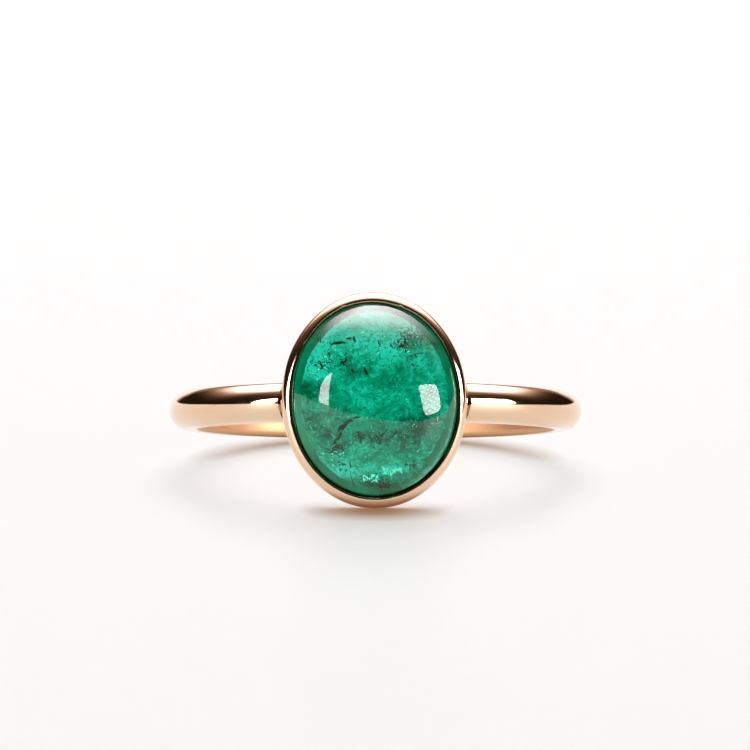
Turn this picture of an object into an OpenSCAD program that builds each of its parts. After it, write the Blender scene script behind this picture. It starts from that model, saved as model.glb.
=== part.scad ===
// Emerald ring: a plain half-round band soldered to an oval bezel that holds a smooth cabochon.
// It lies on its side, on the lower edge of the bezel's foot and the lower edge of the band behind.
// Sizes are in millimetres. The stone faces -Y, and the floor is Z = 0.

/* [Band] */
// Diameter of the finger hole
finger_d = 17; // [15:0.25:21]
// Thickness of the band at its crown
band_thick = 1.5; // [1.2:0.05:2]
// Width of the band, along the finger
band_w = 1.85; // [1.5:0.05:2.3]
// Radius of the band's eased inner edges
band_ease = 0.3; // [0.1:0.05:0.4]

/* [Bezel] */
// Length of the rim's outline, along the finger
bezel_l = 9.94; // [9.6:0.02:10.6]
// Width of the rim's outline, across the finger
bezel_w = 8.54; // [8:0.02:9.4]
// Distance from the finger hole's axis to the front of the rim
rim_reach = 11; // [10.9:0.05:11.6]
// Radius of the rim's rounded outer edge
rim_round = 0.22; // [0.1:0.02:0.3]
// Radius of the rim's inner edge, pressed down on the stone
lip_round = 0.1; // [0.1:0.02:0.2]
// Clear length inside the rim, where the stone shows
lip_l = 8.88; // [8.6:0.02:9]
// Angle by which the wall narrows from the rim to its foot
wall_taper = 2; // [0:0.5:4]
// How far the bezel's foot stands back from the finger hole's wall
foot_relief = 0.2; // [0.1:0.05:0.4]
// Thickness of the solder between the band's ends and the bezel's wall
solder_gap = 0.03; // [0.02:0.01:0.06]

/* [Emerald] */
// Length of the stone, along the finger
stone_l = 9.24; // [9.1:0.02:9.3]
// Height of the dome above the girdle
dome_h = 3.4; // [2.6:0.1:3.8]
// Depth of the shallow curved back below the girdle
back_h = 1; // [0.6:0.05:1.1]
// Width of the ledge that carries the stone
ledge_w = 0.5; // [0.3:0.05:0.7]
// Clearance round the stone in its seat
seat_gap = 0.04; // [0.03:0.01:0.08]

/* [Hidden] */
$fn = 96;

rose_gold = [0.90, 0.62, 0.46];
emerald_green = [0.02, 0.50, 0.33];

finger_r = finger_d / 2;
band_r = finger_r + band_thick;
crown_r = band_w / 2;
oval = bezel_w / bezel_l;
rim_r = bezel_l / 2;
lip_r = lip_l / 2;
stone_r = stone_l / 2;
seat_r = stone_r + seat_gap;

// Heights along the stone's axis, counted from the finger hole's axis.
lip_reach = rim_reach - lip_round;
girdle_reach = lip_reach - (dome_h + seat_gap) * sqrt(1 - pow(lip_r / seat_r, 2));
window_r = seat_r - ledge_w;
ledge_reach = girdle_reach - seat_gap - back_h * sqrt(1 - pow(window_r / stone_r, 2));
foot_reach = finger_r + foot_relief;
core_reach = foot_reach - 2;
core_r = rim_r - (rim_reach - rim_round - core_reach) * tan(wall_taper);
foot_r = rim_r - (rim_reach - rim_round - foot_reach) * tan(wall_taper);
lip_start = (girdle_reach + lip_reach) / 2;
beyond = 1;

// The ring leans back until the bezel's foot and the far side of the band touch the floor together.
lean_along = foot_reach + band_r - crown_r;
lean = acos(crown_r / norm([foot_r, lean_along])) - atan2(lean_along, foot_r);
axis_height = (band_r - crown_r) * sin(lean) + crown_r;

// Reach of the leaning ring in front of and behind its finger axis.
front_reach = girdle_reach * cos(lean) + norm([dome_h * cos(lean), stone_r * sin(lean)]);
back_reach = (band_r - crown_r) * cos(lean) + crown_r;
axis_y = (front_reach - back_reach) / 2;

// Quarter of a circle of radius r about the point centre, from angle a to angle b.
function corner(centre, r, a, b) = [
    for (i = [0 : 6])
        centre + r * [cos(a + (b - a) * i / 6), sin(a + (b - a) * i / 6)]
];

// From the ring's own frame, with the finger along Z, to its place on the floor.
module on_the_floor()
    translate([0, axis_y, axis_height])
        rotate([-lean, 0, 0])
            children();

// An oval turned form, in four quarters, whose axis runs out of the ring through the middle of the stone.
module face_oval()
    rotate([90, 0, 0])
        for (quarter = [0 : 3])
            scale([oval, 1, 1])
                rotate([0, 0, 90 * quarter])
                    rotate_extrude(angle = 90)
                        children();

// Round outside, flat inside and eased at the two inner edges.
module band_section() {
    flat_r = finger_r + band_ease;
    half_flat = crown_r - band_ease;
    crown_centre = band_r - crown_r;
    intersection() {
        translate([crown_centre, 0])
            circle(r = crown_r);
        translate([crown_centre, -crown_r])
            square([crown_r, band_w]);
    }
    translate([flat_r, -crown_r])
        square([crown_centre - flat_r, band_w]);
    translate([finger_r, -half_flat])
        square([crown_centre - finger_r, 2 * half_flat]);
    for (side = [-1, 1])
        translate([flat_r, side * half_flat])
            circle(r = band_ease);
}

// The bezel's wall, from its foot up the outside, over the rim and the pressed lip, and down inside
// past the seat, the ledge and the window.
module bezel_section()
    polygon(concat(
        [[window_r, core_reach], [core_r, core_reach]],
        corner([rim_r - rim_round, rim_reach - rim_round], rim_round, 0, 90),
        corner([lip_r + lip_round, lip_reach], lip_round, 90, 180),
        [[seat_r, lip_start], [seat_r, ledge_reach], [window_r, ledge_reach]]
    ));

// Half of the room that the bezel and its solder take between the band's ends.
module joint_section() {
    taper = tan(wall_taper);
    below = core_reach - beyond;
    above = rim_reach + beyond;
    side_r = rim_r + solder_gap + rim_round * taper;
    polygon([
        [0, below],
        [side_r - (rim_reach - below) * taper, below],
        [side_r + beyond * taper, above],
        [0, above]
    ]);
}

module band()
    color(rose_gold)
        on_the_floor()
            difference() {
                rotate_extrude()
                    band_section();
                face_oval()
                    joint_section();
            }

module bezel()
    color(rose_gold)
        on_the_floor()
            difference() {
                face_oval()
                    bezel_section();
                cylinder(r = foot_reach, h = 2 * bezel_l, center = true);
            }

// The half of the stone on one side of its girdle: the dome in front or the shallow back.
module half_stone(height, side)
    intersection() {
        scale([oval * stone_r, stone_r, height])
            sphere(r = 1);
        translate([-bezel_w / 2, -bezel_l / 2, side > 0 ? 0 : -height - beyond])
            cube([bezel_w, bezel_l, height + beyond]);
    }

module emerald()
    color(emerald_green)
        on_the_floor()
            rotate([90, 0, 0])
                translate([0, 0, girdle_reach]) {
                    half_stone(dome_h, 1);
                    half_stone(back_h, -1);
                }

band();
bezel();
emerald();
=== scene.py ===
# Emerald ring on a white table: a plain rose gold band, an oval bezel and a smooth domed emerald.
# The frame is in metres. Lengths below are in millimetres, in the ring's own frame: the finger passes
# along Z, the stone faces -Y and X runs across. place() lays them down as the ring lies on the table.
import math

import bpy
import numpy as np
from mathutils import Matrix, Vector, bvhtree, kdtree


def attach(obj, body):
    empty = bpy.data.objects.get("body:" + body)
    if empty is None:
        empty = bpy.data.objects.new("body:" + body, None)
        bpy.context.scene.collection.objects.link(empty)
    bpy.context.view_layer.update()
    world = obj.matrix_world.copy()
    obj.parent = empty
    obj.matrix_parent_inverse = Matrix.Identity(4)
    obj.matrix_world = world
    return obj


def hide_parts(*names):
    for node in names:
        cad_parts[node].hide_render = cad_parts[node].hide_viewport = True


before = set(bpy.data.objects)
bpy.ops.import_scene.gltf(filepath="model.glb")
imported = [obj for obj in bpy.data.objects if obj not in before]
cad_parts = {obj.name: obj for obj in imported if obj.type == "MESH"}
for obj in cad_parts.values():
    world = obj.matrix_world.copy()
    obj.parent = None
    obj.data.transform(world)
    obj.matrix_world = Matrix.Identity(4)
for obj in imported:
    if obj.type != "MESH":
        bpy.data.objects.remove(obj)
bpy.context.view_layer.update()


# Band and bezel
# A half-round wire bent round a mandrel and soldered to a hand-made oval collar, all 14-carat rose
# gold. The collar's rim is burnished down over the stone, then filed and polished.
finger_r = 8.5
band_r = 10.0
crown_r = 0.925
ease_r = 0.3
crown_centre = band_r - crown_r
half_long = 4.97
oval = 0.8592
foot_reach = 8.7
wall_taper = math.radians(2.0)
rim_reach = 10.93
seat_r = 4.66
window_r = 4.16
ledge_reach = 9.4
under_lip = 10.6
seat_middle = 10.0
solder_round = 0.2
# The collar was soldered on turned a little from upright.
face_turn = math.radians(2.5)


def turn_face(p, angle=face_turn):
    x = p[..., 0] * math.cos(angle) - p[..., 2] * math.sin(angle)
    z = p[..., 0] * math.sin(angle) + p[..., 2] * math.cos(angle)
    return np.stack([x, p[..., 1], z], axis=-1)


def band_distance(p):
    # How far each point is from the band's surface, negative inside it.
    r = np.hypot(p[:, 0], p[:, 1])
    z = np.abs(p[:, 2])
    outside = np.hypot(r - crown_centre, z) - crown_r
    qz = z - (crown_r - ease_r)
    qr = (finger_r + ease_r) - r
    inside = np.hypot(np.maximum(qz, 0), np.maximum(qr, 0)) + np.minimum(np.maximum(qz, qr), 0) - ease_r
    return np.where(r > crown_centre, outside, inside)


def wall_radius(reach):
    return half_long + (reach - rim_reach) * math.tan(wall_taper)


def wall_distance(p):
    # The same for the outside of the collar, a steep oval cone that is cut off at its foot.
    q = turn_face(p, -face_turn)
    u = q[:, 0] / oval
    rho = np.hypot(u, q[:, 2])
    steep = np.hypot(u / oval, q[:, 2]) / np.maximum(rho, 1e-6)
    side = (rho - wall_radius(-p[:, 1])) / np.maximum(steep, 1e-6)
    return np.maximum(side, foot_reach - np.hypot(p[:, 0], p[:, 1]))


def soldered_distance(p):
    # The same for both together, with solder rounding the corner between them.
    a = band_distance(p)
    b = wall_distance(p)
    overlap = np.maximum(solder_round - np.abs(a - b), 0) / solder_round
    return np.minimum(a, b) - overlap * overlap * solder_round / 4


def slope(distance, p, step=1e-4):
    # The way in which a distance grows fastest.
    out = np.zeros_like(p)
    for axis in range(3):
        side = np.zeros(3)
        side[axis] = step
        out[:, axis] = (distance(p + side) - distance(p - side)) / (2 * step)
    return out


# Slow and quick waves left by the file: (waves along, waves across, height).
file_waves = [(2, 1, 1.0), (5, 2, 0.7), (9, 3, 0.5), (14, 5, 0.35), (23, 4, 0.22)]
heights_together = 2.8


def hand_wave(a, b, seed):
    total = np.zeros_like(a)
    for k, (along, over, size) in enumerate(file_waves):
        total += size * np.sin(along * a + 1.7 * seed + 2.1 * k) * np.cos(over * b + 0.9 * seed + 1.3 * k)
    return total / heights_together


def arc(centre, radius, start, stop, number):
    turns = np.radians(np.linspace(start, stop, number))
    return [(centre[0] + radius * math.cos(a), centre[1] + radius * math.sin(a)) for a in turns]


# Section of the band, round the crown from one edge to the other and back over the inner face.
half_flat = crown_r - ease_r
ease_centre = finger_r + ease_r
section = arc((crown_centre, 0.0), crown_r, -90, 90, 49)
section += arc((ease_centre, half_flat), ease_r, 90, 180, 9)
section += [(finger_r, z) for z in np.linspace(half_flat, -half_flat, 12)[1:-1]]
section += arc((ease_centre, -half_flat), ease_r, 180, 270, 9)
section = np.array(section)

# The band's ends reach a little way into the collar's wall. Its mesh is finer near them.
end_x = 4.02
end_angle = math.asin(end_x / crown_centre)
other_end = 2 * math.pi - end_angle
fine_span = 0.16
fine = np.linspace(0, fine_span, 26)
steps = np.concatenate([
    end_angle + fine,
    np.linspace(end_angle + fine_span, other_end - fine_span, 300)[1:-1],
    other_end - fine[::-1],
])
turn, place_on = np.meshgrid(steps, np.arange(len(section)), indexing="ij")
from_axis = section[place_on, 0]
along_finger = section[place_on, 1]
wave = hand_wave(turn, place_on / len(section) * 2 * math.pi, 3)
# Filing takes up to two hundredths off the crown, but none at the joints.
filed = 0.009
fade_span = 0.2
edge_fade = np.clip(np.minimum(turn - end_angle, other_end - turn) / fade_span, 0, 1)
from_axis = np.where(from_axis > crown_centre, from_axis - filed * (wave + 1) * edge_fade, from_axis)
# Angle 0 looks out through the stone, towards -Y.
band_points = np.stack([from_axis * np.sin(turn), -from_axis * np.cos(turn), along_finger], axis=-1)
band_points = band_points.reshape(-1, 3)


def sheet_faces(rows, columns, close_rows=False, close_columns=False, flip=False):
    # Four-sided faces over points that lie in rows and columns.
    faces = []
    for i in range(rows if close_rows else rows - 1):
        for j in range(columns if close_columns else columns - 1):
            a = i * columns + j
            b = i * columns + (j + 1) % columns
            c = ((i + 1) % rows) * columns + (j + 1) % columns
            d = ((i + 1) % rows) * columns + j
            faces.append((a, d, c, b) if flip else (a, b, c, d))
    return faces


count = len(section)
band_faces = sheet_faces(len(steps), count, close_columns=True, flip=True)
first_end = range(count)
last_end = range((len(steps) - 1) * count, len(steps) * count)
band_faces.append(tuple(first_end))
band_faces.append(tuple(last_end[::-1]))

# From the top of the lip outwards the rim falls away ever more steeply.
outer_fall = [
    (0, 28, 0.23, 7),
    (28, 40, 0.95, 10),
    (40, 70, 0.38, 8),
    (70, 88, 1.20, 6),
]
# Inwards it turns over, shows a narrow bevel where the burnisher pressed, and turns down to the stone.
inner_fall = [
    (0, 8, 0.23, 3),
    (8, 36, 0.05, 3),
    (36, 52, 0.30, 3),
    (52, 90, 0.04, 3),
]


def roll(falls):
    # Points (distance from the top of the lip, drop) along arcs given as
    # (from angle, to angle, radius, number).
    away, drop = 0.0, 0.0
    points = [(away, drop)]
    for start, stop, radius, number in falls:
        for k in range(1, number + 1):
            a0 = math.radians(start + (stop - start) * (k - 1) / number)
            a1 = math.radians(start + (stop - start) * k / number)
            away += radius * (math.sin(a1) - math.sin(a0))
            drop += radius * (math.cos(a0) - math.cos(a1))
            points.append((away, drop))
    return points


outer_roll = roll(outer_fall)
inner_roll = roll(inner_fall)
rim_base = rim_reach - outer_roll[-1][1]
lip_top = half_long - outer_roll[-1][0]
lip_r = lip_top - inner_roll[-1][0]

around = 420
oval_turn = np.linspace(0, 2 * math.pi, around, endpoint=False)
cx = np.cos(oval_turn)
cz = np.sin(oval_turn)


def ring_row(radius, reach):
    # One oval row round the collar. Both values may change round it.
    return np.stack([oval * radius * cx, -reach + 0 * cx, radius * cz], axis=-1)


def on_foot(radius):
    # The foot is cut to the same round as the finger hole.
    return np.sqrt(foot_reach**2 - (oval * radius * cx) ** 2)


# Outside of the wall, from the foot up to the rim.
rows = []
foot_radius = wall_radius(foot_reach)
foot = on_foot(foot_radius)
for t in np.linspace(0, 1, 34):
    reach = foot + (rim_base - foot) * t
    rows.append(ring_row(half_long + (reach - rim_base) * math.tan(wall_taper), reach))
waver = hand_wave(oval_turn, oval_turn * 0.5, 7)
# Small nicks of the burnisher: (turn in radians, width, size).
nicks = [
    (0.6, 0.05, 0.015),
    (1.2, 0.03, 0.020),
    (1.9, 0.06, 0.015),
    (2.5, 0.04, 0.020),
    (3.3, 0.03, 0.015),
    (4.0, 0.06, 0.015),
    (4.9, 0.05, 0.020),
    (5.7, 0.04, 0.015),
]
nick = np.zeros_like(oval_turn)
for centre, width, size in nicks:
    nick += size * np.exp(-((oval_turn - centre) / width) ** 2)
# The burnished lip runs a little unevenly round the stone, with a dark line of painted shade in the crease:
# (angle from the right in degrees, lip moved outwards, width of the painted shade).
lip_run = np.array([
    (0, 0.03, 0.03),
    (20, 0.03, 0.03),
    (55, 0.07, 0.03),
    (75, 0.01, 0.015),
    (95, 0.02, 0.015),
    (120, 0.05, 0.015),
    (150, -0.03, 0.03),
    (175, -0.09, 0.05),
    (195, -0.04, 0.05),
    (215, 0.04, 0.06),
    (235, 0.06, 0.09),
    (262, 0.07, 0.07),
    (285, 0.07, 0.07),
    (305, 0.07, 0.06),
    (325, 0.10, 0.05),
])
degrees = np.degrees(oval_turn)
lip_waver = 0.008
lip_wander = lip_waver * waver + np.interp(degrees, lip_run[:, 0], lip_run[:, 1], period=360)
# Over the rim from the outside, then down inside the lip to the stone.
rim_dip = 0.01
for away, drop in outer_roll[::-1][1:]:
    t = away / outer_roll[-1][0]
    rows.append(ring_row(lip_top + away + lip_wander * (1 - t), rim_reach - drop - rim_dip * (waver + 1) * t))
for away, drop in inner_roll[1:]:
    rows.append(ring_row(lip_top - away + lip_wander + nick, rim_reach - drop))
stone_touch = 10.84
for reach in np.linspace(rim_reach - inner_roll[-1][1], stone_touch, 5)[1:]:
    rows.append(ring_row(lip_r + lip_wander + nick, reach))
# Seat, ledge, the window behind the stone, and the foot.
rows.append(ring_row(seat_r, under_lip))
rows.append(ring_row(seat_r, seat_middle))
rows.append(ring_row(seat_r, ledge_reach))
rows.append(ring_row(window_r, ledge_reach))
window_foot = on_foot(window_r)
for t in np.linspace(0, 1, 9)[1:]:
    rows.append(ring_row(window_r, ledge_reach + (window_foot - ledge_reach) * t))
for t in np.linspace(0, 1, 9)[1:-1]:
    radius = window_r + (foot_radius - window_r) * t
    rows.append(ring_row(radius, on_foot(radius)))
collar_points = turn_face(np.concatenate(rows))
collar_faces = sheet_faces(len(rows), around, close_rows=True, close_columns=True)


def make_piece(name, points, faces, material):
    mesh = bpy.data.meshes.new(name)
    mesh.from_pydata([tuple(p) for p in points], [], [tuple(f) for f in faces])
    mesh.update()
    mesh.shade_smooth()
    piece = bpy.data.objects.new(name, mesh)
    bpy.context.scene.collection.objects.link(piece)
    if material:
        mesh.materials.append(material)
    return piece


def vertex_normals(mesh):
    out = np.zeros(len(mesh.vertices) * 3)
    mesh.vertices.foreach_get("normal", out)
    return out.reshape(-1, 3)


# The two are joined into one piece, and each point keeps the smooth facing of the part it came from.
band_part = make_piece("band_part", band_points, band_faces, None)
collar_part = make_piece("collar_part", collar_points, collar_faces, None)
known_points = np.concatenate([band_points, collar_points])
known_normals = np.concatenate([vertex_normals(band_part.data), vertex_normals(collar_part.data)])
join = band_part.modifiers.new("join", "BOOLEAN")
join.operation = "UNION"
join.solver = "MANIFOLD"
join.object = collar_part
bpy.context.view_layer.update()
joined = bpy.data.meshes.new_from_object(band_part.evaluated_get(bpy.context.evaluated_depsgraph_get()))
bpy.data.objects.remove(band_part)
bpy.data.objects.remove(collar_part)

points = np.zeros(len(joined.vertices) * 3)
joined.vertices.foreach_get("co", points)
points = points.reshape(-1, 3)
finder = kdtree.KDTree(len(known_points))
for k, p in enumerate(known_points):
    finder.insert(p, k)
finder.balance()
normals = np.array([known_normals[finder.find(p)[1]] for p in points])

# Solder fills the crease between band and collar with a small hollow curve.
joint_from = 3.4
surface_depth = 0.05
from_band = band_distance(points)
from_wall = wall_distance(points)
on_surface = np.abs(np.minimum(from_band, from_wall)) < surface_depth
near = on_surface & (np.abs(from_band - from_wall) < solder_round)
near = near & (np.abs(points[:, 0]) > joint_from) & (points[:, 1] < 0)
filled = points[near]
for _ in range(6):
    uphill = slope(soldered_distance, filled)
    still_off = soldered_distance(filled) / np.maximum((uphill * uphill).sum(axis=1), 1e-6)
    filled = filled - still_off[:, None] * uphill
points[near] = filled
uphill = slope(soldered_distance, filled)
normals[near] = uphill / np.linalg.norm(uphill, axis=1)[:, None]

# A finger wears the inside of the band to a satin finish. The same mark carries painted shade there.
worn_depth = 0.15
reach_in = np.hypot(points[:, 0], points[:, 1])
satin_and_shade = np.where((reach_in < finger_r + worn_depth) & (np.abs(points[:, 2]) < crown_r), 1.0, 0.0)
joined.attributes.new("satin_and_shade", "FLOAT", "POINT").data.foreach_set("value", satin_and_shade)

# The ring leans back on the bezel's foot and the far side of the band, so the stone looks up a little.
lean = math.radians(12.5282)
finger_axis = Vector((0.0, 1.651985, 2.893550))
mm = 0.001
lie = Matrix.Scale(mm, 4) @ Matrix.Translation(finger_axis) @ Matrix.Rotation(-lean, 4, "X")


def place(points):
    turned = np.array(lie)
    return np.asarray(points) @ turned[:3, :3].T + turned[:3, 3]


joined.vertices.foreach_set("co", place(points).ravel())
joined.update()
joined.shade_smooth()
joined.normals_split_custom_set_from_vertices((normals @ np.array(lie)[:3, :3].T / mm).tolist())
joined.name = "gold"


def tree(name):
    material = bpy.data.materials.new(name)
    material.use_nodes = True
    material.node_tree.nodes.clear()
    return material, material.node_tree.nodes, material.node_tree.links


def noise(nodes, links, scale, detail=2.0):
    # A grain that is fixed to the piece.
    where = nodes.new("ShaderNodeTexCoord")
    grain = nodes.new("ShaderNodeTexNoise")
    grain.inputs["Scale"].default_value = scale
    grain.inputs["Detail"].default_value = detail
    links.new(where.outputs["Object"], grain.inputs["Vector"])
    return grain


def tones(nodes, links, value, stops):
    # Colours along a value, each stop given as (value, colour).
    ramp = nodes.new("ShaderNodeValToRGB")
    marks = ramp.color_ramp.elements
    for mark, (position, colour) in zip(marks, (stops[0], stops[-1])):
        mark.position = position
        mark.color = (*colour, 1)
    for position, colour in stops[1:-1]:
        marks.new(position).color = (*colour, 1)
    links.new(value, ramp.inputs["Fac"])
    return ramp.outputs["Color"]


gold, nodes, links = tree("rose_gold")
out = nodes.new("ShaderNodeOutputMaterial")
metal = nodes.new("ShaderNodeBsdfPrincipled")
metal.inputs["Metallic"].default_value = 1.0
links.new(metal.outputs[0], out.inputs["Surface"])
cast = noise(nodes, links, 300.0, 3.0)
alloy = tones(nodes, links, cast.outputs["Fac"], [(0.3, (1.0, 0.67, 0.44)), (0.7, (1.0, 0.74, 0.53))])
# The worn inside of the band is rougher; its darker, warmer gold is painted shade of gold facing gold.
inside = nodes.new("ShaderNodeAttribute")
inside.attribute_name = "satin_and_shade"
painted_inner_shade = nodes.new("ShaderNodeMix")
painted_inner_shade.data_type = "RGBA"
painted_inner_shade.inputs["B"].default_value = (0.82, 0.49, 0.265, 1)
links.new(inside.outputs["Fac"], painted_inner_shade.inputs["Factor"])
links.new(alloy, painted_inner_shade.inputs["A"])
# Painted shade: gold facing gold or the table at close range is mixed towards a deeper, darker gold.
open_to_sky = nodes.new("ShaderNodeAmbientOcclusion")
open_to_sky.inputs["Distance"].default_value = 0.0013
open_to_sky.samples = 6
hemmed = nodes.new("ShaderNodeMapRange")
hemmed.inputs["From Min"].default_value = 0.35
hemmed.inputs["From Max"].default_value = 0.8
links.new(open_to_sky.outputs["AO"], hemmed.inputs["Value"])
unshaded_share = nodes.new("ShaderNodeMath")
unshaded_share.operation = "MULTIPLY_ADD"
unshaded_share.use_clamp = True
unshaded_share.inputs[1].default_value = 0.8
links.new(inside.outputs["Fac"], unshaded_share.inputs[0])
links.new(hemmed.outputs["Result"], unshaded_share.inputs[2])
painted_crease_shade = nodes.new("ShaderNodeMix")
painted_crease_shade.data_type = "RGBA"
painted_crease_shade.inputs["A"].default_value = (0.50, 0.22, 0.08, 1)
links.new(unshaded_share.outputs[0], painted_crease_shade.inputs["Factor"])
links.new(painted_inner_shade.outputs["Result"], painted_crease_shade.inputs["B"])
links.new(painted_crease_shade.outputs["Result"], metal.inputs["Base Color"])
# Filing and polishing by hand leave the surface very slightly uneven.
ripple = noise(nodes, links, 2200.0, 3.0)
uneven = nodes.new("ShaderNodeBump")
uneven.inputs["Distance"].default_value = 0.000002
links.new(ripple.outputs["Fac"], uneven.inputs["Height"])
links.new(uneven.outputs["Normal"], metal.inputs["Normal"])
smear = noise(nodes, links, 700.0, 4.0)
polish = nodes.new("ShaderNodeMapRange")
polish.inputs["From Min"].default_value = 0.3
polish.inputs["From Max"].default_value = 0.75
polish.inputs["To Min"].default_value = 0.035
polish.inputs["To Max"].default_value = 0.11
links.new(smear.outputs["Fac"], polish.inputs["Value"])
worn = nodes.new("ShaderNodeMath")
worn.operation = "MULTIPLY_ADD"
worn.inputs[1].default_value = 0.38
links.new(inside.outputs["Fac"], worn.inputs[0])
links.new(polish.outputs["Result"], worn.inputs[2])
links.new(worn.outputs[0], metal.inputs["Roughness"])

ring = bpy.data.objects.new("gold", joined)
bpy.context.scene.collection.objects.link(ring)
joined.materials.clear()
joined.materials.append(gold)
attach(ring, "root")
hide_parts("band", "bezel")


# Emerald
# One cloudy green beryl, cut by hand as a smooth oval dome over a shallow curved back and polished. It
# sits on the collar's ledge and is held by the burnished lip.
girdle_reach = 9.84
stone_r = 4.62
dome_h = 3.265
back_h = 1.0
edge_from = 0.87
lip_share = 0.961
crest_left = 0.14
crest_down = 0.135
flank_lift = 0.415
flank_span = 2.85


def disc(number):
    # A square grid drawn out to a disc, so that the dome has no pole.
    t = np.linspace(-1, 1, number)
    x, y = np.meshgrid(t, t, indexing="ij")
    far = np.maximum(np.abs(x), np.abs(y))
    angle = np.where(
        np.abs(x) > np.abs(y),
        math.pi / 4 * y / np.where(x == 0, 1, x),
        math.pi / 2 - math.pi / 4 * x / np.where(y == 0, 1, y),
    )
    sign = np.where(np.abs(x) > np.abs(y), np.sign(x), np.sign(y))
    return far * np.cos(angle) * sign, far * np.sin(angle) * sign, far


def hand_cut(p, weight):
    # The dome was shaped by eye: its crest stands off centre and the left flank runs higher than the right.
    moved = p.copy()
    moved[..., 0] += crest_left * weight
    moved[..., 2] -= (crest_down + flank_lift * np.tanh(p[..., 0] / flank_span)) * weight
    return turn_face(moved)


def dome_rise(share):
    # Round in the middle, then straighter down to the lip, and a rounded girdle below it.
    middle = np.minimum(share, edge_from)
    beyond = np.maximum(share - edge_from, 0)
    fall_off = edge_from / math.sqrt(1 - edge_from**2) * beyond * (1 + 2 * beyond)
    hidden = np.clip((share - lip_share) / (1 - lip_share), 0, 1)
    return dome_h * (np.sqrt(1 - middle**2) - fall_off) * np.sqrt(1 - hidden**2)


def cap(number, rise):
    x, y, far = disc(number)
    spread = np.where(far > 0, np.sin(far * math.pi / 2) / np.maximum(far, 1e-9), math.pi / 2)
    up = rise(np.sin(far * math.pi / 2))
    flat = np.stack([oval * stone_r * x * spread, -(girdle_reach + up), stone_r * y * spread], axis=-1)
    return flat.reshape(-1, 3), far.reshape(-1)


def back_rise(share):
    return -back_h * np.sqrt(np.maximum(1 - share**2, 0))


# The dome and the back share one edge, the girdle. The hand cutting fades out under the lip.
grid = 121
dome, far = cap(grid, dome_rise)
from_middle = np.hypot(dome[:, 0] / oval, dome[:, 2]) / stone_r
dome = hand_cut(dome, np.maximum(1 - (from_middle / lip_share) ** 10, 0))
under, _ = cap(grid, back_rise)
under = turn_face(under)
on_edge = far > 1 - 1e-9
dome[on_edge] = under[on_edge]
under_index = np.full(grid * grid, -1)
under_index[on_edge] = np.nonzero(on_edge)[0]
under_index[~on_edge] = grid * grid + np.arange((~on_edge).sum())
stone_points = np.concatenate([dome, under[~on_edge]])
front = sheet_faces(grid, grid, flip=True)
behind = [tuple(int(under_index[v]) for v in f[::-1]) for f in front]

emerald, nodes, links = tree("emerald")
out = nodes.new("ShaderNodeOutputMaterial")
glass = nodes.new("ShaderNodeBsdfPrincipled")
glass.inputs["Transmission Weight"].default_value = 1.0
glass.inputs["IOR"].default_value = 1.58
glass.inputs["Base Color"].default_value = (1, 1, 1, 1)
wear = noise(nodes, links, 400.0)
polish = nodes.new("ShaderNodeMapRange")
polish.inputs["To Min"].default_value = 0.0
polish.inputs["To Max"].default_value = 0.05
links.new(wear.outputs["Fac"], polish.inputs["Value"])
links.new(polish.outputs["Result"], glass.inputs["Roughness"])
links.new(glass.outputs[0], out.inputs["Surface"])
# The crystal swallows red light within a few millimetres, and hardly any green or blue.
depth = nodes.new("ShaderNodeVolumeAbsorption")
depth.inputs["Color"].default_value = (0.0, 0.97, 0.92, 1)
depth.inputs["Density"].default_value = 600.0
links.new(depth.outputs[0], out.inputs["Volume"])

stone = make_piece("emerald", place(stone_points), front + behind, emerald)
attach(stone, "root")
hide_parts("emerald")


# Cloudy heart of the stone
# Fine feathery veils fill real emerald. Seen through the dome they merge into one green bed with a painted
# glow. Its mottling and mossy places are the stone's own; the way it is brighter above and at the two ends
# and darker below is painted light. The dome bends the view, so each point of the bed is put where it shows
# at the wanted place on the stone's face.
eye_away = 180.0
eye = eye_away * Vector((0.0063, -0.9987, -0.0511))
bend = 1 / 1.58
dome_tree = bvhtree.BVHTree.FromPolygons([tuple(p) for p in dome], front)


def look_in(across, up):
    # Where the view of this point of the face meets the dome, and its direction inside the stone.
    ray = Vector((across, -rim_reach, up)) - eye
    ray.normalize()
    hit, facing, _, _ = dome_tree.ray_cast(eye, ray)
    if facing.dot(ray) > 0:
        facing = -facing
    straight = -facing.dot(ray)
    inner = math.sqrt(1 - bend * bend * (1 - straight * straight))
    return hit, bend * ray + (bend * straight - inner) * facing


def under_dome(across, up, depth):
    hit, ray = look_in(across, up)
    return hit + ray * depth


well_behind = 6.0


def over_back(across, up, gap):
    # Where the view through the dome comes to the given height over the stone's back, by halving the way.
    hit, ray = look_in(across, up)
    near = 0.0
    far_in = well_behind
    for _ in range(30):
        half = (near + far_in) / 2
        q = turn_face(np.array(hit + ray * half), -face_turn)
        share = math.hypot(q[0] / oval, q[2]) / stone_r
        if -q[1] > girdle_reach + back_rise(share) + gap:
            near = half
        else:
            far_in = half
    return hit + ray * near


def cloudy(nodes, links, colour, clear, painted_glow):
    # Matt and partly clear, with a painted glow: it gives off a little light of its own colour,
    # which stands in for the light that wanders between the veils.
    out = nodes.new("ShaderNodeOutputMaterial")
    face = nodes.new("ShaderNodeBsdfDiffuse")
    links.new(colour, face.inputs["Color"])
    through = nodes.new("ShaderNodeBsdfTranslucent")
    links.new(colour, through.inputs["Color"])
    both = nodes.new("ShaderNodeMixShader")
    both.inputs[0].default_value = clear
    links.new(face.outputs[0], both.inputs[1])
    links.new(through.outputs[0], both.inputs[2])
    glow = nodes.new("ShaderNodeEmission")
    glow.inputs["Strength"].default_value = painted_glow
    links.new(colour, glow.inputs["Color"])
    lit = nodes.new("ShaderNodeAddShader")
    links.new(both.outputs[0], lit.inputs[0])
    links.new(glow.outputs[0], lit.inputs[1])
    links.new(lit.outputs[0], out.inputs["Surface"])


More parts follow.
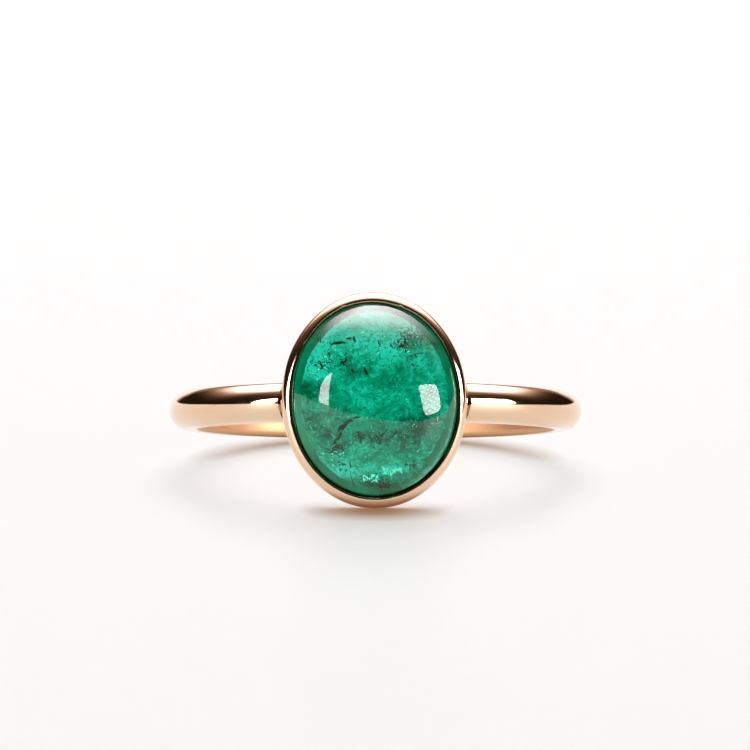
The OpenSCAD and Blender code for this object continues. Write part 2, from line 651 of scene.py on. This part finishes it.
# The cloud is mottled at three scales: broad drifts, swirls, and thin darker strands.
veil, nodes, links = tree("veil")
swirl = noise(nodes, links, 2600.0, 6.0)
swirl.inputs["Roughness"].default_value = 0.6
swirl.inputs["Distortion"].default_value = 1.3
strand = noise(nodes, links, 3400.0)
strand.inputs["Distortion"].default_value = 1.5
off_strand = nodes.new("ShaderNodeMath")
off_strand.operation = "SUBTRACT"
off_strand.inputs[1].default_value = 0.5
links.new(strand.outputs["Fac"], off_strand.inputs[0])
away = nodes.new("ShaderNodeMath")
away.operation = "ABSOLUTE"
links.new(off_strand.outputs[0], away.inputs[0])
line = nodes.new("ShaderNodeMapRange")
line.inputs["From Min"].default_value = 0.0
line.inputs["From Max"].default_value = 0.03
line.inputs["To Min"].default_value = -0.08
line.inputs["To Max"].default_value = 0.0
links.new(away.outputs[0], line.inputs["Value"])
# The cloud attribute adds painted light as well as mottling to the bed's tone.
cloud_and_painted_light = nodes.new("ShaderNodeAttribute")
cloud_and_painted_light.attribute_name = "cloud_and_painted_light"
mottle = nodes.new("ShaderNodeMath")
mottle.operation = "MULTIPLY_ADD"
mottle.inputs[1].default_value = 1.35
links.new(swirl.outputs["Fac"], mottle.inputs[0])
broad = noise(nodes, links, 1100.0, 1.0)
drift = nodes.new("ShaderNodeMath")
drift.operation = "MULTIPLY_ADD"
drift.inputs[1].default_value = 0.55
links.new(broad.outputs["Fac"], drift.inputs[0])
links.new(cloud_and_painted_light.outputs["Fac"], drift.inputs[2])
links.new(drift.outputs[0], mottle.inputs[2])
tone = nodes.new("ShaderNodeMath")
tone.operation = "ADD"
links.new(mottle.outputs[0], tone.inputs[0])
links.new(line.outputs["Result"], tone.inputs[1])
greens = tones(nodes, links, tone.outputs[0], [
    (0.1, (0.004, 0.10, 0.052)),
    (0.5, (0.004, 0.47, 0.29)),
    (1.0, (0.24, 1.0, 0.84)),
])
cloudy(nodes, links, greens, clear=0.12, painted_glow=0.43)
bed_wide = 3.37
bed_long = 4.02
bed_grid = 97
bed_lift = 0.06
edge_wave = 0.010
bx, bz, bed_far = disc(bed_grid)
bearing = np.arctan2(bz, bx)
ragged = 1 + edge_wave * hand_wave(2 * bearing, bearing, 5) * bed_far**4
bed_seen = np.stack([bed_wide * bx * ragged, bed_long * bz * ragged], axis=-1).reshape(-1, 2)
bed_points = [over_back(a, b, bed_lift) for a, b in bed_seen]
bed = make_piece("veil_bed", place(bed_points), sheet_faces(bed_grid, bed_grid, flip=True), veil)
# Bright and dark clouds in the bed, mottling and painted light together:
# (across, up, half-width, half-height, brightness), in millimetres.
clouds_and_painted_light = [
    (0.0, 3.0, 2.2, 0.6, 0.40),
    (-2.8, 1.4, 0.8, 0.5, 0.44),
    (-2.4, 2.3, 0.6, 0.4, 0.20),
    (-2.2, 2.6, 0.9, 0.6, 0.12),
    (0.5, 2.0, 0.9, 0.5, 0.24),
    (2.0, 2.6, 0.9, 0.5, -0.30),
    (2.6, 1.5, 0.8, 0.6, 0.14),
    (1.4, 1.4, 0.4, 0.6, -0.14),
    (-2.9, 0.45, 0.8, 0.35, -0.28),
    (-0.6, 1.1, 1.2, 0.4, -0.12),
    (0.2, -0.1, 2.2, 0.5, 0.14),
    (-2.3, -1.2, 1.1, 0.9, -0.30),
    (2.2, -1.2, 1.2, 0.8, -0.26),
    (0.3, -1.7, 1.6, 0.7, -0.20),
    (0.0, -2.6, 1.8, 0.7, 0.03),
    (1.1, -3.1, 0.9, 0.25, 0.34),
    (-0.6, -3.3, 1.0, 0.2, 0.26),
    (0.4, -4.0, 1.6, 0.3, -0.40),
    (1.9, -3.2, 0.5, 0.4, -0.20),
]
dim = -0.43
cloud_edge = 0.7
tone_and_painted_light = np.full(len(bed_points), dim)
for across, up, half_w, half_h, change in clouds_and_painted_light:
    off = ((bed_seen[:, 0] - across) / half_w) ** 2 + ((bed_seen[:, 1] - up) / half_h) ** 2
    tone_and_painted_light += change * np.exp(-cloud_edge * off)
bed.data.attributes.new("cloud_and_painted_light", "FLOAT", "POINT").data.foreach_set("value", tone_and_painted_light)
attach(bed, "root")


# Clear skin of the stone
# Round the cloudy middle the crystal is clear and looks dark, down to the collar's seat. A sheet just over
# the stone's back, dark green with a painted glow, stands in for it: painted shade seen through the crystal.
skin, nodes, links = tree("clear_skin_painted_shade")
grain = noise(nodes, links, 900.0, 3.0)
shade = nodes.new("ShaderNodeAttribute")
shade.attribute_name = "shade"
light = nodes.new("ShaderNodeMath")
light.operation = "ADD"
links.new(grain.outputs["Fac"], light.inputs[0])
links.new(shade.outputs["Fac"], light.inputs[1])
deep_green = tones(nodes, links, light.outputs[0], [(0.0, (0.001, 0.06, 0.03)), (0.8, (0.004, 0.44, 0.22))])
cloudy(nodes, links, deep_green, clear=0.0, painted_glow=0.45)
skirt_count = 20
skirt_from = 0.5
skirt_to = 0.988
skirt_lift = 0.04
skirt_rows = []
for t in np.linspace(skirt_from, skirt_to, skirt_count):
    skirt_rows.append(ring_row(stone_r * t, girdle_reach + skirt_lift + back_rise(t)))
skirt_points = turn_face(np.concatenate(skirt_rows))
skirt_faces = sheet_faces(skirt_count, around, close_columns=True)
skirt = make_piece("clear_skin_painted_shade", place(skirt_points), skirt_faces, skin)
# Painted shade, darkest at the top and lightest on the left: (angle from the right in degrees, change of
# shade).
skirt_shade = np.interp(
    degrees,
    [0, 60, 85, 110, 140, 180, 215, 245, 290, 330],
    [-0.15, -0.3, -0.42, -0.42, -0.12, 0.02, -0.12, -0.16, -0.22, -0.15],
    period=360,
)
shade_of_points = np.tile(skirt_shade, skirt_count)
skirt.data.attributes.new("shade", "FLOAT", "POINT").data.foreach_set("value", shade_of_points)
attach(skirt, "root")


# Feathers and needles in the stone
# Healed cracks show as short curled feathers, lighter or darker than the stone, and black needles,
# grains and mossy tufts lie among them. Each one is a thin sliver at its own depth under the dome.


blunt = 0.35
fullness = 0.6


def sliver(path, half_wide, half_thick):
    # Four-sided and narrow at both ends; path holds (across, up, depth).
    rings = []
    last = len(path) - 1
    for k, (across, up, depth) in enumerate(path):
        before = path[max(k - 1, 0)]
        after = path[min(k + 1, last)]
        along = math.hypot(after[0] - before[0], after[1] - before[1]) or 1.0
        side_x = -(after[1] - before[1]) / along
        side_z = (after[0] - before[0]) / along
        fat = math.sin(math.pi * (k + blunt) / (last + 2 * blunt)) ** fullness
        w = half_wide * fat
        t = half_thick * fat
        rings.append([
            under_dome(across + side_x * w, up + side_z * w, depth),
            under_dome(across, up, depth - t),
            under_dome(across - side_x * w, up - side_z * w, depth),
            under_dome(across, up, depth + t),
        ])
    return rings


def sliver_mesh(name, slivers, material):
    # All slivers of one kind as one piece, each closed at both ends.
    points = []
    faces = []
    for rings in slivers:
        start = len(points)
        for ring_of_four in rings:
            points.extend(ring_of_four)
        for k in range(len(rings) - 1):
            for j in range(4):
                a = start + 4 * k + j
                b = start + 4 * k + (j + 1) % 4
                faces.append((a, b, b + 4, a + 4))
        faces.append((start + 3, start + 2, start + 1, start))
        end = start + 4 * (len(rings) - 1)
        faces.append((end, end + 1, end + 2, end + 3))
    piece = make_piece(name, place(points), faces, material)
    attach(piece, "root")


def grain_direction(across, up):
    # Neighbouring feathers lie much the same way, and the way turns slowly over the stone.
    return 2.4 * math.sin(1.3 * across + 0.8 * up) + 1.9 * math.cos(1.1 * up - 0.9 * across) + 0.3 * across


chance = np.random.default_rng(11)
sway = 0.08


def curl(across, up, depth, length, direction, curve, count=6):
    # A path under the dome that starts at a point of the face and bends steadily.
    path = []
    for k in range(count):
        path.append((across, up, depth + sway * math.sin(k + across * 9)))
        across += length / (count - 1) * math.cos(direction)
        up += length / (count - 1) * math.sin(direction)
        direction += curve / (count - 1)
    return path


def farthest(path, half_w, half_h):
    # How near the path comes to the edge of an oval; 1 is on it.
    return max((across / half_w) ** 2 + (up / half_h) ** 2 for across, up, _ in path)


feather_w = 3.3
feather_h = 4.0
feather_slack = 0.05
paper_thin = 0.01


def feathers(number, length, half_wide, depth_from, depth_to):
    found = []
    while len(found) < number:
        x, z = chance.uniform(-1, 1, 2)
        if x * x + z * z > 1:
            continue
        across = x * feather_w
        up = z * feather_h
        direction = grain_direction(across, up) + chance.normal(0, 0.7)
        size = length * chance.uniform(0.5, 1.4)
        depth = chance.uniform(depth_from, depth_to)
        path = curl(across, up, depth, size, direction, chance.normal(0, 1.6))
        if farthest(path, feather_w + feather_slack, feather_h + feather_slack) < 1:
            found.append(sliver(path, half_wide * chance.uniform(0.6, 1.4), paper_thin))
    return found


def painted(name, dark, light, scale, clear=0.0, painted_glow=0.0):
    material, nodes, links = tree(name)
    grain = noise(nodes, links, scale)
    colour = tones(nodes, links, grain.outputs["Fac"], [(0.35, dark), (0.65, light)])
    cloudy(nodes, links, colour, clear, painted_glow)
    return material


pale_green = painted("light_feather", (0.003, 0.55, 0.34), (0.05, 0.85, 0.62), 900.0, clear=0.2, painted_glow=0.43)
light_bits = feathers(number=380, length=0.22, half_wide=0.016, depth_from=1.2, depth_to=2.4)
sliver_mesh("light_feathers", light_bits, pale_green)
bottle_green = painted("dark_feather", (0.002, 0.20, 0.10), (0.004, 0.32, 0.17), 900.0, clear=0.2, painted_glow=0.43)
deep_bits = feathers(number=1000, length=0.20, half_wide=0.013, depth_from=1.0, depth_to=2.4)
sliver_mesh("dark_feathers", deep_bits, bottle_green)

# Single needles: (from across, from up, to across, to up, half-width, curve), in millimetres.
needles = [
    (-2.02, 2.50, -1.27, 2.58, 0.055, -0.4),
    (-0.94, 2.90, -0.84, 2.60, 0.045, 0.4),
    (-1.28, 2.80, -1.02, 2.82, 0.045, 0.6),
    (-2.57, 2.88, -2.52, 2.62, 0.022, 0.3),
    (-2.43, 2.84, -2.49, 2.58, 0.022, -0.2),
    (-2.08, 2.16, -2.01, 1.93, 0.030, 0.4),
    (0.16, 2.74, 0.32, 2.40, 0.030, 0.3),
    (1.06, 2.74, 1.12, 2.56, 0.035, 0.2),
    (1.38, 2.88, 1.46, 2.54, 0.040, 0.3),
    (-0.45, 1.46, -0.24, 1.08, 0.050, 0.5),
    (-1.04, 1.40, -0.90, 1.22, 0.050, 0.5),
    (-0.62, -0.80, -0.98, -0.92, 0.035, 0.5),
    (-0.95, -0.98, -1.36, -1.10, 0.055, 0.6),
    (-1.18, -1.04, -1.46, -1.42, 0.070, 0.4),
    (-1.44, -1.16, -1.62, -1.50, 0.060, 0.5),
    (-1.50, -1.48, -1.70, -1.86, 0.060, -0.4),
    (-1.72, -1.80, -1.80, -2.06, 0.040, 0.5),
    (-2.43, -2.16, -1.52, -2.70, 0.018, -0.4),
    (-2.20, -2.40, -1.70, -2.42, 0.014, 0.5),
    (-1.10, -2.80, -1.02, -3.15, 0.030, 0.5),
    (-1.12, -3.18, -0.84, -4.10, 0.014, 0.2),
    (0.50, -1.88, 1.05, -1.38, 0.020, 0.8),
]
black = painted("needle", (0.003, 0.035, 0.015), (0.055, 0.075, 0.028), 2500.0, painted_glow=0.2)
needle_depth = 0.7
dark_bits = []
for from_x, from_z, to_x, to_z, half_wide, curve in needles:
    length = math.hypot(to_x - from_x, to_z - from_z)
    direction = math.atan2(to_z - from_z, to_x - from_x) - curve / 2
    path = curl(from_x, from_z, needle_depth, length, direction, curve, 9)
    dark_bits.append(sliver(path, 1.3 * half_wide, half_wide))

# Tufts and grains: (across, up, half-width, half-height, number, length, half-thickness), in millimetres.
tufts = [
    (2.05, 2.85, 1.15, 0.60, 190, 0.16, 0.018),
    (1.25, 2.45, 0.30, 0.20, 34, 0.12, 0.028),
    (1.75, 1.80, 0.35, 0.55, 30, 0.08, 0.028),
    (-2.30, 1.58, 0.90, 0.24, 40, 0.07, 0.030),
    (-2.35, 1.50, 0.30, 0.20, 14, 0.06, 0.034),
    (-1.28, 1.70, 0.30, 0.40, 50, 0.12, 0.018),
    (-1.50, 2.50, 1.10, 0.45, 16, 0.10, 0.016),
    (0.20, 2.90, 1.10, 0.45, 22, 0.07, 0.016),
    (-0.55, -0.42, 0.45, 0.05, 9, 0.05, 0.026),
    (-0.70, -1.70, 0.38, 0.27, 44, 0.13, 0.022),
    (0.24, -1.80, 0.55, 0.34, 60, 0.13, 0.022),
    (-1.72, -2.20, 0.20, 0.20, 34, 0.13, 0.028),
    (-1.20, -1.60, 0.45, 0.60, 26, 0.12, 0.014),
    (-1.45, -3.05, 0.16, 0.20, 14, 0.12, 0.022),
    (1.65, -3.02, 0.26, 0.18, 20, 0.14, 0.018),
    (0.45, -3.95, 0.48, 0.28, 60, 0.12, 0.024),
    (0.00, 1.00, 3.00, 1.70, 150, 0.08, 0.018),
    (0.00, -2.40, 2.20, 1.10, 40, 0.08, 0.013),
]
straggle = 1.2
start_w = 3.4
start_h = 4.1
reach_w = 3.6
reach_h = 4.25
for across, up, half_w, half_h, number, length, half_thick in tufts:
    for _ in range(number):
        x, z = chance.normal(0, 0.5, 2)
        x = across + half_w * max(-straggle, min(straggle, x))
        z = up + half_h * max(-straggle, min(straggle, z))
        if farthest([(x, z, 0.0)], start_w, start_h) > 1:
            continue
        depth = chance.uniform(0.5, 1.1)
        size = length * chance.uniform(0.5, 1.5)
        direction = chance.uniform(0, 2 * math.pi)
        path = curl(x, z, depth, size, direction, chance.normal(0, 1.4), 5)
        if farthest(path, reach_w, reach_h) < 1:
            dark_bits.append(sliver(path, half_thick * chance.uniform(0.6, 1.4), half_thick))
sliver_mesh("needles", dark_bits, black)

# Painted glints: pale glowing slivers shaped as cracks.
# (across, up, half-width, half-height, number, length), in millimetres.
glints = [
    (-0.17, -3.60, 0.36, 0.15, 34, 0.15),
    (0.85, -3.28, 0.45, 0.17, 38, 0.15),
    (1.86, -1.20, 0.10, 0.10, 3, 0.08),
    (3.00, -1.45, 0.12, 0.10, 5, 0.08),
    (1.15, -1.62, 0.20, 0.06, 3, 0.08),
    (-1.90, -2.90, 0.60, 0.55, 20, 0.10),
    (-2.20, 2.10, 0.55, 0.40, 14, 0.10),
    (-2.60, 1.30, 0.45, 0.40, 16, 0.10),
    (0.20, 2.60, 1.60, 0.50, 24, 0.10),
]
glint_paint = painted("painted_glint_crack", (0.12, 0.95, 0.72), (0.62, 1.0, 0.88), 1500.0, clear=0.2, painted_glow=0.55)
painted_glint_bits = []
glint_w = 3.2
glint_h = 3.85
for across, up, half_w, half_h, number, length in glints:
    for _ in range(number):
        x, z = chance.uniform(-1, 1, 2)
        depth = chance.uniform(0.8, 1.3)
        size = length * chance.uniform(0.5, 1.4)
        direction = chance.uniform(0, 2 * math.pi)
        path = curl(across + half_w * x, up + half_h * z, depth, size, direction, chance.normal(0, 1.4), 5)
        if farthest(path, glint_w, glint_h) < 1:
            painted_glint_bits.append(sliver(path, chance.uniform(0.01, 0.026), paper_thin))
# One long painted glint, shaped as a crack, follows the left edge.
edge_glint = curl(across=-3.64, up=0.0, depth=0.3, length=1.7, direction=-1.62, curve=0.25, count=12)
painted_glint_bits.append(sliver(edge_glint, 0.022, paper_thin))
sliver_mesh("painted_glint_cracks", painted_glint_bits, glint_paint)


# Painted shade in the crease
# A thin, uneven black line of painted shade lies in the narrow crease between the lip and the stone,
# widest below.
crease_shade_wide = np.interp(degrees, lip_run[:, 0], lip_run[:, 2], period=360) * (1 + 0.25 * waver)
tucked_in = 0.02
crease_shade_from = lip_r + lip_wander + nick + tucked_in
inwards = Vector((0.0, 1.0, 0.0))
well_outside = -20.0
# Section of the painted shade line: (share of its width in from the lip, height above the stone).
crease_shade_section = [(0.0, 0.03), (0.5, 0.02), (1.0, 0.0), (0.5, -0.03)]
crease_shade_rows = []
for share, lift in crease_shade_section:
    flat = turn_face(ring_row(crease_shade_from - share * (crease_shade_wide + tucked_in), 0.0))
    row = []
    for x, _, z in flat:
        hit = dome_tree.ray_cast(Vector((x, well_outside, z)), inwards)[0]
        row.append((x, hit.y - lift, z))
    crease_shade_rows.append(np.array(row))
crease_shade_paint = painted("crease_shade_line", (0.006, 0.012, 0.006), (0.03, 0.028, 0.012), 1500.0)
crease = make_piece(
    "crease_painted_shade",
    place(np.concatenate(crease_shade_rows)),
    sheet_faces(len(crease_shade_section), around, close_rows=True, close_columns=True),
    crease_shade_paint,
)
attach(crease, "root")


# Table
# A broad sheet of matt white card under the ring, the floor of the photograph. It isn't part of the
# ring: it only stages it.
card, nodes, links = tree("white_card")
out = nodes.new("ShaderNodeOutputMaterial")
sheen = nodes.new("ShaderNodeBsdfPrincipled")
sheen.inputs["Roughness"].default_value = 0.5
sheen.inputs["Specular IOR Level"].default_value = 0.3
# Light spreads a few millimetres inside the card, red furthest, which warms and softens the shadows.
sheen.inputs["Subsurface Weight"].default_value = 1.0
sheen.inputs["Subsurface Radius"].default_value = (1.0, 0.5, 0.3)
sheen.inputs["Subsurface Scale"].default_value = 0.006
# The card also glows evenly, which lifts the shadows; ambient occlusion turns the glow into a warm
# painted shade in the narrow gap under the ring.
open_sky = nodes.new("ShaderNodeAmbientOcclusion")
open_sky.inputs["Distance"].default_value = 0.0015
open_sky.samples = 8
deep_shadow = (0.42, 0.21, 0.08)
open_card = (0.995, 0.962, 0.925)
card_glow_and_painted_shade = tones(nodes, links, open_sky.outputs["AO"], [(0.0, deep_shadow), (1.0, open_card)])
links.new(card_glow_and_painted_shade, sheen.inputs["Emission Color"])
sheen.inputs["Emission Strength"].default_value = 0.66
sheen.inputs["IOR"].default_value = 1.5
grain = noise(nodes, links, 500.0)
fleck = (0.056, 0.072, 0.076)
fibre = (0.060, 0.076, 0.080)
paper = tones(nodes, links, grain.outputs["Fac"], [(0.0, fleck), (1.0, fibre)])
links.new(paper, sheen.inputs["Base Color"])
links.new(sheen.outputs[0], out.inputs["Surface"])
card_half = 3.0
corners = [
    (-card_half, -card_half, 0.0),
    (card_half, -card_half, 0.0),
    (card_half, card_half, 0.0),
    (-card_half, card_half, 0.0),
]
floor = make_piece("card", corners, [(0, 1, 2, 3)], card)


# Light
# A big soft lamp overhead, a tall soft lamp on the left, a panel of small lenses on the right and a
# white sweep low down behind the ring. The room between them is dark.
world = bpy.data.worlds.new("studio")
bpy.context.scene.world = world
world.use_nodes = True
nodes = world.node_tree.nodes
links = world.node_tree.links
nodes.clear()
out = nodes.new("ShaderNodeOutputWorld")
sky = nodes.new("ShaderNodeBackground")
links.new(sky.outputs[0], out.inputs["Surface"])
where = nodes.new("ShaderNodeTexCoord")
parts = nodes.new("ShaderNodeSeparateXYZ")
links.new(where.outputs["Generated"], parts.inputs[0])


def reckon(operation, first, second=0.0, third=0.0):
    node = nodes.new("ShaderNodeMath")
    node.operation = operation
    for socket, value in ((0, first), (1, second), (2, third)):
        if isinstance(value, (int, float)):
            node.inputs[socket].default_value = value
        else:
            links.new(value, node.inputs[socket])
    return node.outputs[0]


def rise(value, low, high):
    node = nodes.new("ShaderNodeMapRange")
    node.interpolation_type = "SMOOTHSTEP"
    node.inputs["From Min"].default_value = low
    node.inputs["From Max"].default_value = high
    links.new(value, node.inputs["Value"])
    return node.outputs["Result"]


east = parts.outputs[0]
north = parts.outputs[1]
up = parts.outputs[2]
height = reckon("ARCSINE", up)
compass = reckon("ARCTAN2", east, reckon("MULTIPLY", north, -1.0))
above = reckon("MAXIMUM", up, 0.05)
across = reckon("ABSOLUTE", reckon("DIVIDE", east, above))
back = reckon("DIVIDE", north, above)
behind = reckon("MAXIMUM", back, 0.0)
aloft = rise(up, 0.05, 0.12)
# The overhead lamp is brightest a little behind the ring and fades out slowly, most of all to the rear.
# Its sizes are given as if it hung one unit above the table.
lamp_half_wide = 0.5
widening = 0.45
lamp_middle = 0.35
rear_half = 0.4
front_half = 0.44
lamp_spread = 0.84
wide = reckon("DIVIDE", across, reckon("MULTIPLY_ADD", behind, widening, lamp_half_wide))
from_middle = reckon("SUBTRACT", back, lamp_middle)
to_rear = reckon("DIVIDE", from_middle, rear_half)
deep = reckon("MAXIMUM", to_rear, reckon("DIVIDE", from_middle, -front_half))
far_out = reckon("SQRT", reckon("MULTIPLY_ADD", wide, wide, reckon("MULTIPLY", deep, deep)))
faded = reckon("POWER", reckon("DIVIDE", far_out, lamp_spread), 4.0)
core = reckon("DIVIDE", 1.0, reckon("ADD", 1.0, faded))
halo_half_wide = 0.8
halo_middle = 0.8
halo_half_deep = 1.1
back_wide = reckon("DIVIDE", across, halo_half_wide)
back_deep = reckon("DIVIDE", reckon("SUBTRACT", back, halo_middle), halo_half_deep)
back_square = reckon("MULTIPLY_ADD", back_wide, back_wide, reckon("MULTIPLY", back_deep, back_deep))
back_out = reckon("SQRT", back_square)
halo = reckon("DIVIDE", 1.0, reckon("ADD", 1.0, reckon("POWER", back_out, 6.0)))
halo = reckon("MULTIPLY", halo, rise(back, 0.0, halo_middle))
core = reckon("MULTIPLY", core, aloft)
halo = reckon("MULTIPLY", halo, aloft)


def side_lamp_shape(inner_az, far_az, lean_in, top):
    # Upright, with a far edge that leans in towards the top until the two edges meet.
    outward = reckon("ABSOLUTE", compass)
    climb = reckon("POWER", reckon("DIVIDE", reckon("MAXIMUM", height, 0.0), math.radians(top)), 3.0)
    far_edge = reckon("MULTIPLY_ADD", climb, -math.radians(lean_in), math.radians(far_az))
    inside = rise(outward, math.radians(inner_az - soft_edge), math.radians(inner_az + soft_edge))
    within = rise(reckon("SUBTRACT", outward, far_edge), math.radians(soft_edge), -math.radians(soft_edge))
    upright = rise(height, 0.0, math.radians(2 * soft_edge))
    west = rise(compass, 0.0, -0.1)
    return reckon("MULTIPLY", reckon("MULTIPLY", inside, within), reckon("MULTIPLY", upright, west))


soft_edge = 0.8
left = side_lamp_shape(inner_az=58.4, far_az=72.6, lean_in=14.0, top=27.0)
# The lamp on the right is a rounded panel that shines through a grid of small lenses.
panel_az = math.radians(70.0)
panel_half_wide = math.radians(15.7)
panel_half_high = math.radians(10.7)
panel_height = math.radians(13.7)
panel_narrows = math.radians(1.4)
panel_x = reckon("DIVIDE", reckon("SUBTRACT", compass, panel_az), panel_half_wide)
panel_half = reckon("MULTIPLY_ADD", panel_x, -panel_narrows, panel_half_high)
panel_middle = reckon("MULTIPLY_ADD", panel_x, -panel_narrows, panel_height)
panel_y = reckon("DIVIDE", reckon("SUBTRACT", height, panel_middle), panel_half)
squareness = 5.0
panel_x = reckon("POWER", reckon("ABSOLUTE", panel_x), squareness)
panel_y = reckon("POWER", reckon("ABSOLUTE", panel_y), squareness)
panel = reckon("ADD", panel_x, panel_y)
right = rise(panel, 1.15, 0.85)
bead_step_across = math.radians(4.9)
bead_step_up = math.radians(2.1)
beads = reckon(
    "MULTIPLY",
    reckon("COSINE", reckon("MULTIPLY", compass, math.pi / bead_step_across)),
    reckon("COSINE", reckon("MULTIPLY", height, math.pi / bead_step_up)),
)
beads = rise(beads, 0.25, 0.9)
# The sweep of the backdrop stands behind the ring and ends a little above the table.
sweep_from = math.radians(148)
sweep_full = math.radians(164)
sweep_top = math.radians(14)
sweep_full_top = math.radians(9)
rear = rise(reckon("ABSOLUTE", compass), sweep_from, sweep_full)
low = reckon("MULTIPLY", rear, rise(height, sweep_top, sweep_full_top))
# How bright each of them is.
core_light = 7.3
halo_light = 4.5
left_light = 9.5
right_light = 8.8
bead_light = 12.0
low_light = 0.85
rear_light = 0.25
room_light = 0.015
right = reckon("MULTIPLY", right, reckon("MULTIPLY_ADD", beads, bead_light, right_light))
total = reckon("MULTIPLY_ADD", core, core_light, right)
total = reckon("MULTIPLY_ADD", halo, halo_light, total)
total = reckon("MULTIPLY_ADD", left, left_light, total)
total = reckon("MULTIPLY_ADD", low, low_light, total)
total = reckon("MULTIPLY_ADD", rear, rear_light, total)
total = reckon("ADD", total, room_light)
# The dark of the room is a warm brown, and the lamps are white with a trace of pink.
room = tones(nodes, links, total, [(0.0, (1.0, 0.62, 0.38)), (0.8, (1.0, 0.91, 0.955))])
links.new(room, sky.inputs["Color"])
# The camera itself looks at a plain white wall.
wall_white = 0.96
path = nodes.new("ShaderNodeLightPath")
seen = nodes.new("ShaderNodeMix")
links.new(path.outputs["Is Camera Ray"], seen.inputs[0])
links.new(total, seen.inputs[2])
seen.inputs[3].default_value = wall_white
links.new(seen.outputs[0], sky.inputs["Strength"])
world.cycles.sampling_method = "MANUAL"
world.cycles.sample_map_resolution = 1024


# Camera
# A long lens a hand's span away, 9.6 degrees above the table and a trace to the right, as in the
# photograph. It points at the axis of the finger hole and is shifted upwards.
camera_data = bpy.data.cameras.new("camera")
camera = bpy.data.objects.new("camera", camera_data)
bpy.context.scene.collection.objects.link(camera)
bpy.context.scene.camera = camera
camera_away = 180.0
camera_height = math.radians(9.6)
camera_side = math.radians(0.36)
toward = Vector((
    math.sin(camera_side) * math.cos(camera_height),
    -math.cos(camera_side) * math.cos(camera_height),
    math.sin(camera_height),
))
camera.location = (finger_axis + camera_away * toward) * mm
camera.rotation_mode = "QUATERNION"
camera.rotation_quaternion = (-toward).to_track_quat("-Z", "Y")
camera_data.sensor_width = 36.0
camera_data.lens = 177.7
camera_data.shift_x = -0.0008
camera_data.shift_y = 0.0487
camera_data.clip_start = 0.01
camera_data.clip_end = 20.0

# Clear glass needs many bounces and both kinds of caustics.
scene = bpy.context.scene
scene.view_settings.view_transform = "Standard"
scene.view_settings.look = "None"
scene.cycles.use_denoising = True
scene.cycles.max_bounces = 16
scene.cycles.transmission_bounces = 16
scene.cycles.glossy_bounces = 8
scene.cycles.diffuse_bounces = 4
scene.cycles.caustics_refractive = True
scene.cycles.caustics_reflective = True
scene.cycles.sample_clamp_indirect = 40.0
